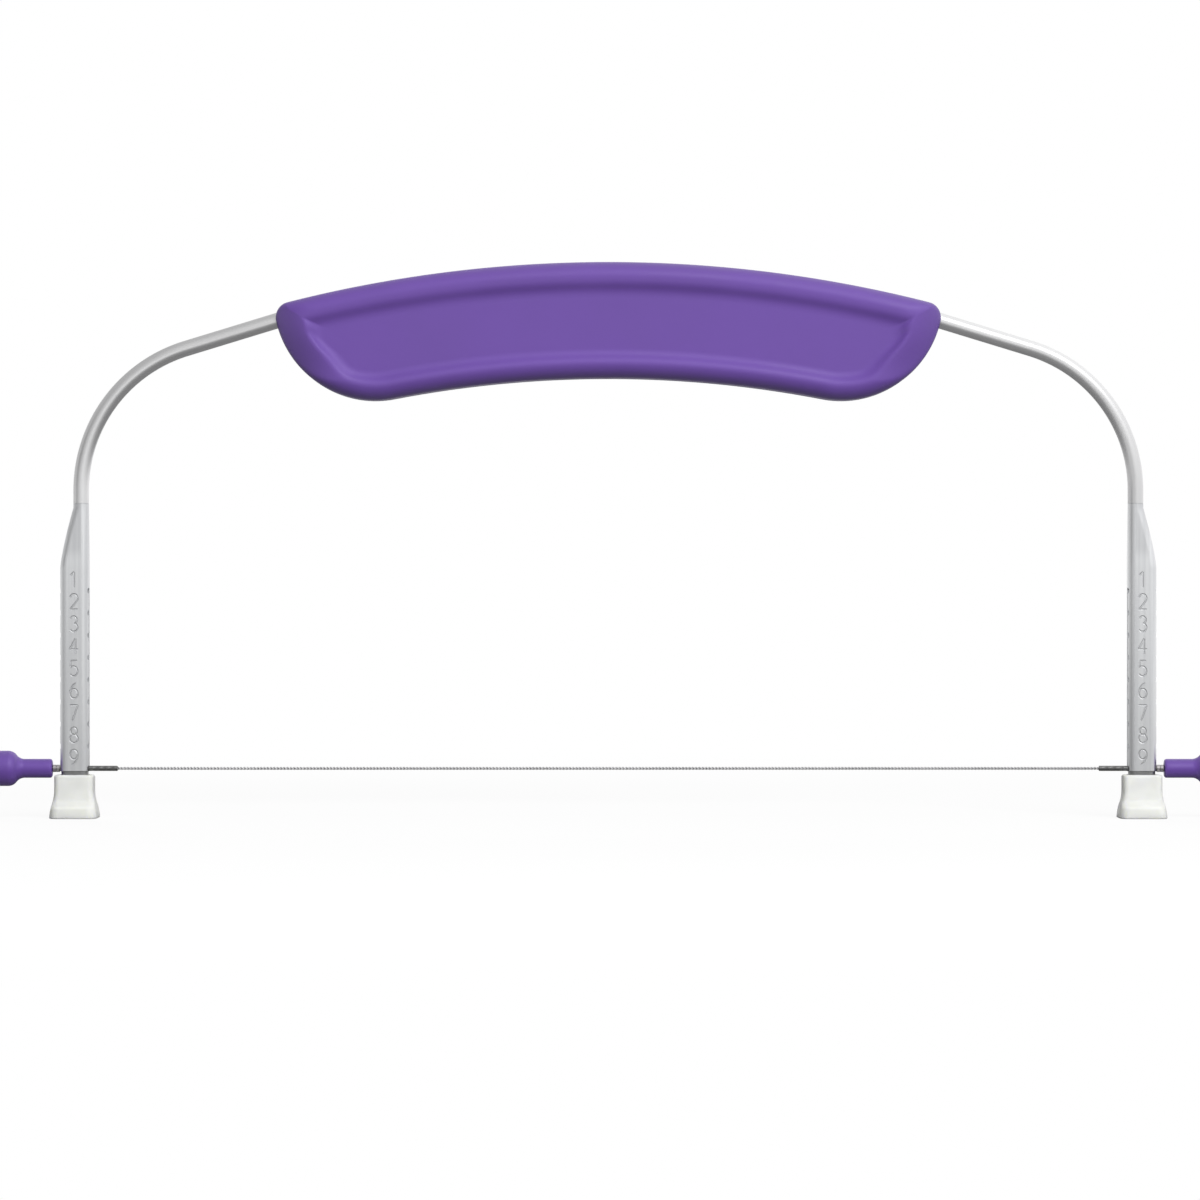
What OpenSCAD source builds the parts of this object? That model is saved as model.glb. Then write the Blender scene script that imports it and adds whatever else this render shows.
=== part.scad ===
/* [Frame] */
// Height of the handle's crown above the table
overall_h = 158.75; // [150:0.25:170]
// Distance between the centre lines of the legs
leg_spacing = 305.2; // [290:0.1:320]
// Diameter of the bent rod
rod_d = 4.5; // [4:0.1:4.6]
// Radius of every bend of the rod, on its centre line
bend_r = 42.3; // [40:0.1:45]
// Slope of the rod's shoulders, in degrees
shoulder_slope = 17; // [15:0.5:19]
// Height at which the rod's shoulders turn into the upright ends
upright_top_z = 93.8; // [92:0.1:95]

/* [Legs] */
// Width of a leg, seen from the front
leg_w = 8.2; // [8:0.1:9]
// Depth of a leg, from its numbered face to its open back
leg_depth = 5; // [5:0.1:5.4]
// Thickness of the leg's sheet steel
leg_wall = 0.8; // [0.7:0.05:0.9]
// Height at which the leg has its full width
leg_full_z = 71.5; // [70:0.1:73]
// Height of the top of the leg's neck
leg_neck_z = 90; // [89:0.1:91]

/* [Cutting wire] */
// Height of the wire in its lowest notch
wire_z = 14.2; // [14:0.1:14.6]
// Diameter of the twisted wire
wire_d = 0.9; // [0.7:0.05:1]
// Diameter of the sleeves crimped on its ends
sleeve_d = 1.5; // [1.4:0.05:1.6]
// Distance between two notches
notch_pitch = 6.35; // [6:0.05:6.5]
// Number of notches in each leg
notch_count = 9; // [5:1:9]

/* [Handle] */
// Depth of the handle, front to back
handle_depth = 19; // [18:0.5:22]
// Radius of the arched top edge
top_arc_r = 371; // [365:1:400]
// Radius of the hollow lower edge
palm_arc_r = 324; // [318:1:345]
// Radius of the rounded ends
end_arc_r = 28.8; // [28:0.1:29.4]
// Radius of the corner between the top and an end
corner_arc_r = 4.5; // [4:0.1:5]
// Height of the handle's lower edge at its middle
palm_z = 125.7; // [125:0.1:126.5]
// Distance of the end arcs' centres from the middle
end_arc_x = 66.7; // [66.2:0.1:67.2]
// Width of the raised rim, out to the panel
rim_w = 10.4; // [10:0.1:10.8]
// Width of the rim on the palm side
palm_rim_w = 8.4; // [8:0.1:8.8]
// Width of the rim at the handle's ends
end_rim_w = 10.6; // [10.2:0.1:11]
// Depth of the recessed panel below the rim's crest
recess_depth = 1.6; // [1.2:0.1:1.8]
// Thickness of the shells
shell_wall = 2.4; // [2.2:0.1:2.6]

/* [Feet and knobs] */
// Width of a foot's upper part
foot_w = 11.2; // [11:0.1:12]
// Width of a foot's base
foot_base_w = 13.6; // [13:0.1:15]
// Depth of a foot's base
foot_base_depth = 16; // [15:0.5:18]
// Height of a foot
foot_h = 12.4; // [12:0.1:12.6]
// Length of a knob
knob_len = 21; // [19:0.5:24]
// Diameter of a knob's neck
knob_neck_d = 5.4; // [5:0.1:5.6]
// Diameter of a knob's bulb
knob_bulb_d = 10.1; // [9:0.1:10.4]

/* [Hidden] */

$fa = 4;
$fs = 0.4;

// A cut runs this far past the face that it opens
cut = 1;
// Gap all round where one piece slides or turns in another
slide_gap = 0.06;
turn_gap = 0.05;

// Rod: bending draws it a little thinner, and each straight run reaches a little way into its bends
rod_r = rod_d / 2;
bend_thinning = 0.01;
bend_overlap = 0.05;
upright_x = leg_spacing / 2 - leg_w / 2 + rod_r;
shoulder_start = [
    upright_x - bend_r * (1 - sin(shoulder_slope)),
    upright_top_z + bend_r * cos(shoulder_slope)
];
// The rod levels out inside the handle from this distance off the middle
level_start_x = 93.5;
level_start_z = shoulder_start[1] + (shoulder_start[0] - level_start_x) * tan(shoulder_slope);
level_x = level_start_x - bend_r * sin(shoulder_slope);
level_z = level_start_z + bend_r * (1 - cos(shoulder_slope));
spigot_r = 1.5;
spigot_len = 10;

// Leg: the wire's sleeve runs at y = 0 in the upright lane, and the notches lead forward from it
leg_x = leg_spacing / 2;
leg_back_y = 2.4;
leg_front_y = leg_back_y - leg_depth;
leg_bottom_z = 2.4;
leg_corner_r = 2;
leg_hollow_top_z = 73;
lane_r = sleeve_d / 2 + slide_gap;
lane_top_z = wire_z + notch_pitch * (notch_count - 1);
notch_reach = 0.9;

// Wire ends
sleeve_start_x = 140.3;
crimp_depth = 10;
collar_r = 1.05;
collar_start_x = leg_x + leg_w / 2 + 0.05;
knob_start_x = collar_start_x + 2.2;
head_r = 1.5;
head_len = 2;
head_x = knob_start_x + 7;

// Handle
top_arc_z = overall_h - top_arc_r;
palm_arc_z = palm_z - palm_arc_r;
end_arc_z = palm_arc_z + sqrt(pow(end_arc_r + palm_arc_r, 2) - pow(end_arc_x, 2));
inner_corner_r = 2.5;
half_depth = handle_depth / 2;
// Each arc of half the outline is drawn with this many steps
top_steps = 6;
corner_steps = 5;
end_steps = 14;
palm_steps = 5;
// The rim's edge is a quarter ellipse, this wide and this deep, then a soft slope down to the panel
edge_w = 4.4;
edge_depth = 5;
edge_steps = 6;
slope_steps = 4;
palm_crest_w = 3.7;
// At the ends the rim's crest lies further in, and the handle thins towards the rod
end_crest_w = 6.6;
taper_w = 8;
taper_depth = 5.2;
panel_y = half_depth - recess_depth;
hollow_y = panel_y - 2.2;
end_wall = 5.2;

// Handle fixings, each [distance from the middle, height]
screw_spots = [[28, 136.3], [68, 132.6]];
screw_r = 1.45;
screw_head_r = 2.7;
screw_head_h = 1.8;
screw_seat_y = 4.6;
screw_tip_y = -5.2;
boss_r = 3.5;
screw_hole_r = 1.65;
counterbore_r = 3;
rib_xs = [12, 46, 78];
rib_t = 2;

// Foot
foot_depth = 8.8;
foot_corner_r = 1.6;
foot_base_corner_r = 2.6;
foot_base_h = 2.9;
foot_flare_top_z = 5.4;
// Seen from the front, a foot flares all the way down from here
front_flare_top_z = 8.2;
foot_levels = [0, 1.4, foot_base_h, 3.7, 4.5, foot_flare_top_z, 6.8, front_flare_top_z];

// Knob profile
knob_neck_r = knob_neck_d / 2;
knob_bulb_r = knob_bulb_d / 2;
neck_len = 7.9;
neck_edge_r = 0.7;
shoulder_r = 3;
bulb_end_r = 3.6;
arc_steps = 8;

// Points on an arc about [cx, cy], both ends included
function arc(c, r, from, to, steps) = [
    for (i = [0 : steps])
        let (a = from + (to - from) * i / steps)
        c + r * [cos(a), sin(a)]
];

// The point, right of the line from a to b, that lies ra from a and rb from b
function meet(a, ra, b, rb) =
    let (
        d = norm(b - a),
        along = (ra * ra - rb * rb + d * d) / (2 * d),
        aside = sqrt(ra * ra - along * along),
        u = (b - a) / d
    )
    a + along * u + aside * [u[1], -u[0]];

function direction(from, to) = atan2(to[1] - from[1], to[0] - from[0]);

// The right half of the handle's outline, drawn in by inset: four arcs that run into each other
function half_outline(inset) =
    let (
        corner_r = max(corner_arc_r - inset, inner_corner_r),
        top_c = [0, top_arc_z],
        palm_c = [0, palm_arc_z],
        end_c = [end_arc_x, end_arc_z],
        corner_c = meet(
            top_c, top_arc_r - inset - corner_r,
            end_c, end_arc_r - inset - corner_r
        ),
        top_end = direction(top_c, corner_c),
        end_start = direction(end_c, corner_c),
        end_stop = direction(palm_c, end_c) - 180,
        top = arc(top_c, top_arc_r - inset, 90, top_end, top_steps),
        corner = arc(corner_c, corner_r, top_end, end_start, corner_steps),
        end = arc(end_c, end_arc_r - inset, end_start, end_stop, end_steps),
        palm = arc(palm_c, palm_arc_r + inset, end_stop + 180, 90, palm_steps)
    )
    concat(
        top,
        [for (i = [1 : corner_steps]) corner[i]],
        [for (i = [1 : end_steps]) end[i]],
        [for (i = [1 : palm_steps]) palm[i]]
    );

// The whole outline, clockwise from the crown
function outline(inset) =
    let (half = half_outline(inset), n = len(half))
    concat(half, [for (i = [n - 2 : -1 : 1]) [-half[i][0], half[i][1]]]);

// Runs from 0 to 1 while v goes from a to b, with a soft start and a soft end
function eased(v, a, b) =
    let (t = min(1, max(0, (v - a) / (b - a))))
    t * t * (3 - 2 * t);

function cubic(a, b, c, d, t) =
    a * pow(1 - t, 3) + 3 * b * t * pow(1 - t, 2) + 3 * c * t * t * (1 - t) + d * pow(t, 3);

// Rings of the handle's face: [inset from the outline, depth of the recess]
function face_rings(crest_w, panel_inset) =
    let (slope_w = panel_inset - crest_w)
    concat(
        [for (i = [0 : edge_steps]) [crest_w * (1 - cos(90 * i / edge_steps)), 0]],
        [for (i = [1 : slope_steps])
            let (t = i / slope_steps)
            [
                cubic(crest_w, crest_w + 0.5 * slope_w, crest_w + 0.44 * slope_w, panel_inset, t),
                cubic(0, 0, recess_depth, recess_depth, t)
            ]]
    );

// How much of an end a spot is: 0 where the outline runs level, 1 where it stands upright
function end_share(steep) = eased(steep, 0.3, 0.9);

// For each point of the outline, how much it belongs to the top, to the palm side and to an end
side_shares =
    let (o = outline(0), n = len(o))
    [for (i = [0 : n - 1])
        let (
            run = o[(i + 1) % n] - o[(i + n - 1) % n],
            end = end_share(abs(run[1]) / norm(run))
        )
        run[0] > 0 ? [1 - end, 0, end] : [0, 1 - end, end]];

// How far the rounded edge falls back from the rim's crest
function edge_drop(inset) =
    inset >= edge_w ? 0 : edge_depth * (1 - sin(acos(1 - inset / edge_w)));

// How far the handle thins towards the rod at the spot p
function end_drop(p) =
    let (
        out = abs(p[0]) - end_arc_x,
        away = norm([out, p[1] - end_arc_z]),
        near = (away - end_arc_r + taper_w) / taper_w
    )
    out <= 0 || near <= 0 ? 0 : taper_depth * pow(near, 1.5) * end_share(out / away);

// The outline drawn in by its own inset at the top, at the palm side and at the ends
function ring_outline(insets) =
    let (top = outline(insets[0]), palm = outline(insets[1]), ends = outline(insets[2]))
    [for (i = [0 : len(side_shares) - 1])
        let (w = side_shares[i])
        w[0] * top[i] + w[1] * palm[i] + w[2] * ends[i]];

// Upright plate of a 2D shape, from y = 0 towards the front
module plate(thickness) {
    rotate([90, 0, 0])
        linear_extrude(thickness)
            children();
}

// The same piece again on the other side of the middle
module both_sides() {
    children();
    mirror([1, 0, 0])
        children();
}

module rounded_rect(w, h, r) {
    square([w - 2 * r, h], center = true);
    square([w, h - 2 * r], center = true);
    for (x = [-1, 1], y = [-1, 1])
        translate([x * (w / 2 - r), y * (h / 2 - r)])
            circle(r);
}

// A rod bend in the upright plane: the centre, then the angles that it sweeps between
module bend(centre, from, to, r) {
    translate([centre[0], 0, centre[1]])
        rotate([90, 0, 0])
            rotate_extrude(angle = to - from, start = from)
                translate([bend_r, 0])
                    circle(r - bend_thinning);
}

// Half of the rod's run through the handle and over the shoulder, r thick
module rod_run(r) {
    translate([0, 0, level_z])
        rotate([0, 90, 0])
            cylinder(r = r, h = level_x + bend_overlap);
    bend([level_x, level_z - bend_r], 90 - shoulder_slope, 90, r);
    shoulder_len = (shoulder_start[0] - level_start_x) / cos(shoulder_slope);
    translate([level_start_x, 0, level_start_z])
        rotate([0, 90 + shoulder_slope, 0])
            translate([0, 0, -bend_overlap])
                cylinder(r = r, h = shoulder_len + 2 * bend_overlap);
}

module half_bow() {
    rod_run(rod_r);
    bend([upright_x - bend_r, upright_top_z], 0, 90 - shoulder_slope, rod_r);
    translate([upright_x, 0, leg_neck_z])
        cylinder(r = rod_r, h = upright_top_z - leg_neck_z + bend_overlap);
    translate([upright_x, 0, leg_neck_z - spigot_len])
        cylinder(r = spigot_r, h = spigot_len);
}

module bow() {
    color("silver")
        both_sides()
            half_bow();
}

// A shape on the leg's middle, as seen from above: corners of radius r in front, square at the back
module round_front(w, front_y, back_y, r) {
    depth = back_y - front_y;
    translate([leg_x, front_y + depth / 2]) {
        rounded_rect(w, depth, r);
        translate([-w / 2, 0])
            square([w, depth / 2]);
    }
}

// Outside of a leg below its neck
module leg_section() {
    round_front(leg_w, leg_front_y, leg_back_y, leg_corner_r);
}

// Inside of the channel: closed in front, open at the back
module leg_hollow() {
    round_front(
        leg_w - 2 * leg_wall,
        leg_front_y + leg_wall,
        leg_back_y + cut,
        leg_corner_r - leg_wall
    );
}

// Slot across both flanges, from [y, z] to [y, z]
module flange_slot(from, to) {
    run = norm(to - from);
    x = leg_x - leg_w / 2 - cut;
    width = leg_w + 2 * cut;
    for (p = [from, to])
        translate([x, p[0], p[1]])
            rotate([0, 90, 0])
                cylinder(r = lane_r, h = width);
    translate([x, from[0], from[1]])
        rotate([direction(from, to), 0, 0])
            translate([0, 0, -lane_r])
                cube([width, run, 2 * lane_r]);
}

module leg() {
    difference() {
        union() {
            translate([0, 0, leg_bottom_z])
                linear_extrude(leg_full_z - leg_bottom_z)
                    leg_section();
            hull() {
                translate([0, 0, leg_full_z - 0.01])
                    linear_extrude(0.01)
                        leg_section($fn = 32);
                translate([upright_x, 0, leg_neck_z - 1.3])
                    cylinder(r = rod_r, h = 0.01, $fn = 48);
            }
            translate([upright_x, 0, leg_neck_z - 1.3])
                cylinder(r = rod_r, h = 1.3);
        }
        translate([0, 0, leg_bottom_z - cut])
            linear_extrude(leg_hollow_top_z - leg_bottom_z + cut)
                leg_hollow();
        translate([upright_x, 0, leg_neck_z - spigot_len])
            cylinder(r = spigot_r, h = spigot_len + cut);
        flange_slot([0, wire_z], [0, lane_top_z]);
        for (i = [0 : notch_count - 1])
            let (z = wire_z + i * notch_pitch)
            flange_slot([-notch_reach, z], [0, z]);
    }
}

module left_leg() {
    color("lightgray")
        mirror([1, 0, 0])
            leg();
}

module right_leg() {
    color("lightgray")
        leg();
}

// Solid between the parting plane and the handle's face, towards the front
module face_block() {
    top = face_rings(edge_w, rim_w);
    palm = face_rings(palm_crest_w, palm_rim_w);
    ends = face_rings(end_crest_w, end_rim_w);
    face = [
        for (k = [0 : len(top) - 1])
            let (insets = [top[k][0], palm[k][0], ends[k][0]], o = ring_outline(insets))
            [for (i = [0 : len(o) - 1])
                let (
                    edge = edge_drop(side_shares[i] * insets),
                    drop = pow(pow(edge, 4) + pow(end_drop(o[i]), 4), 0.25)
                )
                [o[i][0], -(half_depth - drop - top[k][1]), o[i][1]]]
    ];
    rings = concat([[for (p = outline(0)) [p[0], 0, p[1]]]], face);
    n = len(rings[0]);
    last = len(rings) - 1;
    points = [for (ring = rings) each ring];
    sides = [
        for (k = [0 : last - 1], i = [0 : n - 1])
            let (j = (i + 1) % n)
            each [
                [k * n + i, k * n + j, (k + 1) * n + i],
                [k * n + j, (k + 1) * n + j, (k + 1) * n + i]
            ]
    ];
    back = [[for (i = [n - 1 : -1 : 0]) i]];
    front = [[for (i = [0 : n - 1]) last * n + i]];
    polyhedron(points, concat(sides, back, front));
}

// Hollow half of the handle with its cross ribs, round the rod
module shell() {
    difference() {
        face_block();
        difference() {
            translate([0, cut, 0])
                plate(hollow_y + cut)
                    polygon(ring_outline([shell_wall, shell_wall, end_wall]));
            both_sides()
                for (x = rib_xs)
                    translate([x - rib_t / 2, -half_depth, palm_z - 20])
                        cube([rib_t, half_depth, 60]);
            both_sides()
                for (spot = screw_spots)
                    translate([spot[0], 0, spot[1]])
                        plate(half_depth)
                            circle(boss_r);
        }
        both_sides()
            rod_run(rod_r);
    }
}

module handle_front_shell() {
    color("mediumpurple")
        difference() {
            shell();
            both_sides()
                for (spot = screw_spots)
                    translate([spot[0], cut, spot[1]])
                        plate(cut - screw_tip_y)
                            circle(screw_r);
        }
}

module handle_rear_shell() {
    color("mediumpurple")
        mirror([0, 1, 0])
            difference() {
                shell();
                both_sides()
                    for (spot = screw_spots)
                        translate([spot[0], 0, spot[1]]) {
                            translate([0, cut, 0])
                                plate(half_depth + cut)
                                    circle(screw_hole_r);
                            translate([0, -screw_seat_y, 0])
                                plate(half_depth)
                                    circle(counterbore_r);
                        }
            }
}

module handle_screws() {
    color("dimgray")
        both_sides()
            for (spot = screw_spots)
                translate([spot[0], 0, spot[1]]) {
                    translate([0, screw_seat_y, 0])
                        plate(screw_seat_y - screw_tip_y)
                            circle(screw_r);
                    translate([0, screw_seat_y + screw_head_h, 0])
                        plate(screw_head_h)
                            circle(screw_head_r);
                }
}

// Thin slice of a foot at height z
module foot_slice(z) {
    wide = eased(z, front_flare_top_z, 0);
    deep = eased(z, foot_flare_top_z, foot_base_h);
    translate([leg_x, 0, z])
        linear_extrude(0.01)
            rounded_rect(
                foot_w + (foot_base_w - foot_w) * wide,
                foot_depth + (foot_base_depth - foot_depth) * deep,
                foot_corner_r + (foot_base_corner_r - foot_corner_r) * deep,
                $fn = 32
            );
}

module foot() {
    difference() {
        union() {
            for (i = [1 : len(foot_levels) - 1])
                hull() {
                    foot_slice(foot_levels[i - 1]);
                    foot_slice(foot_levels[i]);
                }
            translate([leg_x, 0, front_flare_top_z])
                linear_extrude(foot_h - front_flare_top_z)
                    rounded_rect(foot_w, foot_depth, foot_corner_r, $fn = 32);
        }
        translate([0, 0, leg_bottom_z])
            linear_extrude(foot_h)
                leg_section();
    }
}

module left_foot() {
    color("whitesmoke")
        mirror([1, 0, 0])
            foot();
}

module right_foot() {
    color("whitesmoke")
        foot();
}

// A turned piece on the wire's axis: its profile is [radius, distance along the wire]
module turned(x) {
    translate([x, 0, wire_z])
        rotate([0, 90, 0])
            rotate_extrude()
                children();
}

module cutting_wire() {
    half_len = sleeve_start_x + crimp_depth;
    color("gainsboro")
        turned(-half_len)
            square([wire_d / 2, 2 * half_len]);
}

module wire_sleeve() {
    run = head_x + head_len - sleeve_start_x;
    difference() {
        turned(sleeve_start_x) {
            square([sleeve_d / 2, run]);
            translate([0, run - head_len])
                square([head_r, head_len]);
        }
        turned(sleeve_start_x - cut)
            square([wire_d / 2, crimp_depth + cut]);
    }
}

module left_wire_sleeve() {
    color("slategray")
        mirror([1, 0, 0])
            wire_sleeve();
}

module right_wire_sleeve() {
    color("slategray")
        wire_sleeve();
}

module stop_collar() {
    collar_len = knob_start_x - turn_gap - collar_start_x;
    turned(collar_start_x)
        translate([sleeve_d / 2, 0])
            square([collar_r - sleeve_d / 2, collar_len]);
}

module left_stop_collar() {
    color("darkgray")
        mirror([1, 0, 0])
            stop_collar();
}

module right_stop_collar() {
    color("darkgray")
        stop_collar();
}

// Outside of a knob: straight neck, S-shaped shoulder, long bulb with a rounded end
function knob_profile() =
    let (
        rise = knob_bulb_r - knob_neck_r,
        sweep = acos(1 - rise / (2 * shoulder_r)),
        reach = shoulder_r * sin(sweep),
        hollow_c = [knob_neck_r + shoulder_r, neck_len],
        crown_c = [knob_bulb_r - shoulder_r, neck_len + 2 * reach],
        end_c = [knob_bulb_r - bulb_end_r, knob_len - bulb_end_r],
        edge_c = [knob_neck_r - neck_edge_r, neck_edge_r]
    )
    concat(
        [[0, 0]],
        arc(edge_c, neck_edge_r, -90, 0, arc_steps),
        arc(hollow_c, shoulder_r, 180, 180 - sweep, arc_steps),
        arc(crown_c, shoulder_r, -sweep, 0, arc_steps),
        arc(end_c, bulb_end_r, 0, 90, arc_steps),
        [[0, knob_len]]
    );

module knob() {
    bore_len = head_x - knob_start_x;
    turned(knob_start_x)
        difference() {
            polygon(knob_profile());
            translate([0, -cut])
                square([sleeve_d / 2 + turn_gap, bore_len + cut]);
            translate([0, bore_len - turn_gap])
                square([head_r + turn_gap, head_len + 2 * turn_gap]);
        }
}

module left_knob() {
    color("mediumpurple")
        mirror([1, 0, 0])
            knob();
}

module right_knob() {
    color("mediumpurple")
        knob();
}

bow();
left_leg();
right_leg();
handle_front_shell();
handle_rear_shell();
handle_screws();
left_foot();
right_foot();
cutting_wire();
left_wire_sleeve();
right_wire_sleeve();
left_stop_collar();
right_stop_collar();
left_knob();
right_knob();
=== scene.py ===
"""Looks of a bow-shaped cake leveler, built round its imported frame.

Shapes are worked out in millimetres, and make_object turns them into metres.
"""

import math

import bmesh
import bpy
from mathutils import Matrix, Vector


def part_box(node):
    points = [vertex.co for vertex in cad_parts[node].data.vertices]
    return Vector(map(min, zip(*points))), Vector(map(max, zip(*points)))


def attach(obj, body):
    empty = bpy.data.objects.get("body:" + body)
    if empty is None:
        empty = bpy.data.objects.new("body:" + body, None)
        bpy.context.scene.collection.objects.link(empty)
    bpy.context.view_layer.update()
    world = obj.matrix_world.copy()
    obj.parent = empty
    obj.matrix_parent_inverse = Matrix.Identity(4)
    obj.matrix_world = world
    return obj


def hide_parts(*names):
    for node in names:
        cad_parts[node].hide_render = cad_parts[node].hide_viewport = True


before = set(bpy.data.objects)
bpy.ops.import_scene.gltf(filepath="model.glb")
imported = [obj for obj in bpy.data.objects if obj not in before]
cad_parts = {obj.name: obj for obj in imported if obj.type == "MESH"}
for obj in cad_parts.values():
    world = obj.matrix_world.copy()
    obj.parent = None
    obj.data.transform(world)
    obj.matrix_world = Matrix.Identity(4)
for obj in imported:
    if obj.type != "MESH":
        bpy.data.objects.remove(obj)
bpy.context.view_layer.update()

MM = 0.001


def box_mm(node):
    """Lowest and highest corner of a frame node, in millimetres."""
    low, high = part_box(node)
    return low / MM, high / MM


# The photograph: its scale, and where the table and the middle of the leveler fall in it
PHOTO_PX = 1200
MM_PER_PX = 0.286
TABLE_PX_Y = 818
MIDDLE_PX_X = 608.3
CAMERA_DISTANCE = 1600

# Rod
bow_low, bow_high = box_mm("bow")
ROD_R = (bow_high.y - bow_low.y) / 2
UPRIGHT_X = bow_high.x - ROD_R
LEVEL_Z = bow_high.z - ROD_R
SPIGOT_BOTTOM_Z = bow_low.z
SPIGOT_R = 1.5
SPIGOT_CHAMFER = 0.3
ROD_CLEARANCE = 0.12
BEND_R = 42.3
SHOULDER_SLOPE = 17
UPRIGHT_TOP_Z = 93.8

# Legs
leg_low, leg_high = box_mm("right_leg")
LEG_X = (leg_low.x + leg_high.x) / 2
LEG_W = leg_high.x - leg_low.x
LEG_FRONT_Y = leg_low.y
LEG_BACK_Y = leg_high.y
LEG_BOTTOM_Z = leg_low.z
LEG_NECK_Z = leg_high.z
LEG_FULL_Z = 71.5
NECK_START_Z = 88.7
LEG_WALL = 0.8
LEG_CORNER_R = 2
LEG_LIP_R = 0.2
HOLLOW_TOP_Z = 73
HOLLOW_SCOOP = 5
HOLLOW_SCOOP_Y = 3.6
NOTCH_PITCH = 6.35
NOTCH_COUNT = 9
NOTCH_REACH = 0.9
NECK_EASE = 1.3

# Digits stamped on the legs, one between each pair of notches and one above the last
DIGIT_W = 2.7
DIGIT_H = 4.4
DIGIT_RISE = 3.2
STAMP_R = 0.36
STAMP_LIFT = 0.2

# Feet
foot_low, foot_high = box_mm("right_foot")
FOOT_BASE_W = foot_high.x - foot_low.x
FOOT_BASE_DEPTH = foot_high.y - foot_low.y
FOOT_H = foot_high.z
FOOT_W = 11.2
FOOT_DEPTH = 8.8
FOOT_CORNER_R = 1.6
FOOT_BASE_CORNER_R = 2.6
FOOT_BASE_H = 2.9
FLARE_TOP_Z = 5.4
FRONT_FLARE_TOP_Z = 8.2
FOOT_EDGE_R = 0.6
FOOT_SOLE_R = 0.35
SOCKET_GAP = 0.08
SOCKET_CHAMFER = 0.15

# Groove round each leg, just above its foot
SEAM_LOW_Z = FOOT_H + 0.1
SEAM_HIGH_Z = FOOT_H + 0.9
SEAM_DEPTH = 0.3

# Cutting wire and what is crimped on its ends
wire_low, wire_high = box_mm("cutting_wire")
sleeve_low, sleeve_high = box_mm("right_wire_sleeve")
collar_low, collar_high = box_mm("right_stop_collar")
WIRE_Z = (wire_low.z + wire_high.z) / 2
WIRE_HALF = wire_high.x
STRAND_R = (wire_high.z - wire_low.z) / 4
STRAND_SIDES = 8
WIRE_LAY = 1.9
STEPS_PER_LAY = 12
SLEEVE_R = 0.75
SLEEVE_HEAD_R = (sleeve_high.z - sleeve_low.z) / 2
SLEEVE_HEAD_LEN = 2
CRIMP_DEPTH = WIRE_HALF - sleeve_low.x
CRIMP_RUNS = (1.8, 4.0, 6.2)
CRIMP_HALF = 0.75
CRIMP_DENT = 0.16
COLLAR_R = (collar_high.z - collar_low.z) / 2
LANE_R = SLEEVE_R + 0.06

# Knobs
knob_low, knob_high = box_mm("right_knob")
KNOB_LEN = knob_high.x - knob_low.x
KNOB_BULB_R = (knob_high.z - knob_low.z) / 2
KNOB_NECK_R = 2.7
NECK_EDGE_R = 0.7
NECK_LEN = 7.9
KNOB_SHOULDER_R = 3
BULB_END_R = 3.6
KNOB_BORE_LEN = 7
TURN_GAP = 0.05

# Handle: four arcs make its outline
shell_low, shell_high = box_mm("handle_front_shell")
HANDLE_TOP_Z = shell_high.z
HALF_DEPTH = -shell_low.y
TOP_ARC_R = 371
PALM_ARC_R = 324
PALM_Z = 125.7
END_ARC_R = 28.8
END_ARC_X = 66.7
CORNER_ARC_R = 4.5
INNER_CORNER_R = 2.5
TOP_ARC_Z = HANDLE_TOP_Z - TOP_ARC_R
PALM_ARC_Z = PALM_Z - PALM_ARC_R
END_ARC_Z = PALM_ARC_Z + math.sqrt((END_ARC_R + PALM_ARC_R) ** 2 - END_ARC_X**2)
EDGE_W = 4.4
EDGE_DEPTH = 5
RIM_W = 10.4
PALM_CREST_W = 3.7
PALM_RIM_W = 8.4
END_CREST_W = 6.6
END_RIM_W = 10.6
TAPER_W = 8
TAPER_DEPTH = 5.2
RECESS_DEPTH = 1.6
PANEL_Y = HALF_DEPTH - RECESS_DEPTH
PARTING_CHAMFER = 0.2
SHELL_WALL = 2.4
END_WALL = 5.2
HOLLOW_Y = PANEL_Y - 2.2
RIB_XS = (12, 46, 78)
RIB_T = 2
RIB_LOW_Z = 100
RIB_HIGH_Z = 170

# Handle screws, each (distance from the middle, height)
SCREW_SPOTS = ((28, 136.3), (68, 132.6))
SCREW_R = 1.45
SCREW_CORE_R = 1.12
SCREW_PITCH = 1.1
SCREW_HEAD_R = 2.7
SCREW_HEAD_H = 1.8
SCREW_DOME_R = 2.2
SCREW_SEAT_Y = 4.6
SCREW_TIP_Y = -5.2
SCREW_HOLE_R = 1.65
BOSS_R = 3.5
WELL_R = 3
WELL_MOUTH = 0.35

# Lights: the level from all round and what it gains to the right, with 1 for a white surface
SOFT_LIGHT = 0.24
SOFT_LIGHT_GAIN = 0.12
LAMP_SIZE = 1.1
LAMP_TARGET = (0, 0, 0.08)

# Floor: half its width, and how far it lies under the soles, so that the two don't flicker
FLOOR_HALF = 4000
FLOOR_DROP = 0.02

# How finely round shapes are drawn, and how far a cutter reaches past what it cuts
ROD_SIDES = 40
TURNED_SIDES = 56
CORNER_STEPS = 8
PAST = 1


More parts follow.
